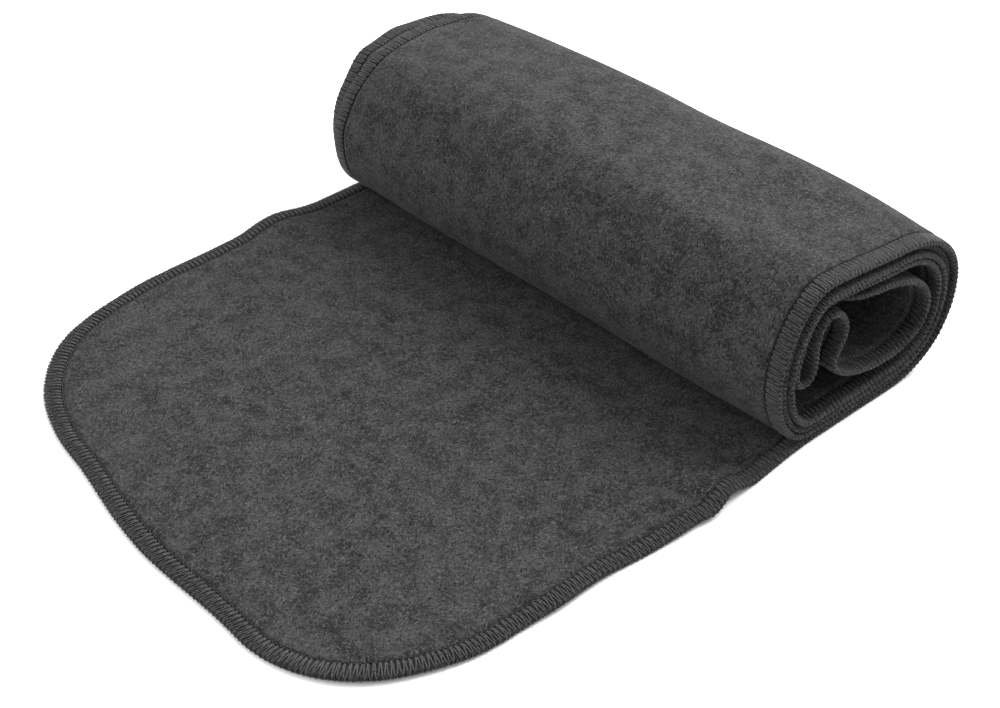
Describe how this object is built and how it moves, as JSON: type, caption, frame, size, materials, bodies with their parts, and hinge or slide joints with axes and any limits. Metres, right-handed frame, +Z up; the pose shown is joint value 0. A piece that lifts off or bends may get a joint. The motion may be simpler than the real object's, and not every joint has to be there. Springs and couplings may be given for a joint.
{
  "type": "folded throw blanket",
  "caption": "Narrow fleece throw with rounded, overlocked edges, loosely rolled up with one end left flat as a flap.",
  "frame": {"origin": "on the floor, under the middle of the blanket's whole outline", "axes": "+X along the roll, +Y from the flap's free end towards the back of the roll, +Z up"},
  "size_m": [0.25, 0.2902, 0.0666],
  "materials": {
    "fleece": "brushed, felted polyester fleece in a dark grey melange, matt with a soft nap",
    "thread": "spun polyester overlock thread, charcoal, slightly lustrous"
  },
  "bodies": {
    "roll": {"roll_cloth": "fleece", "roll_needle_thread": "thread", "roll_upper_looper_thread": "thread", "roll_lower_looper_thread": "thread"},
    "flap": {"flap_cloth": "fleece", "flap_needle_thread": "thread", "flap_upper_looper_thread": "thread", "flap_lower_looper_thread": "thread"}
  },
  "joints": [
    {"name": "flap_lift", "type": "hinge", "parent": "roll", "child": "flap", "pos_m": [0, 0.03872, 0.002], "axis": [-1, 0, 0], "range_deg": [0, 95]}
  ]
}
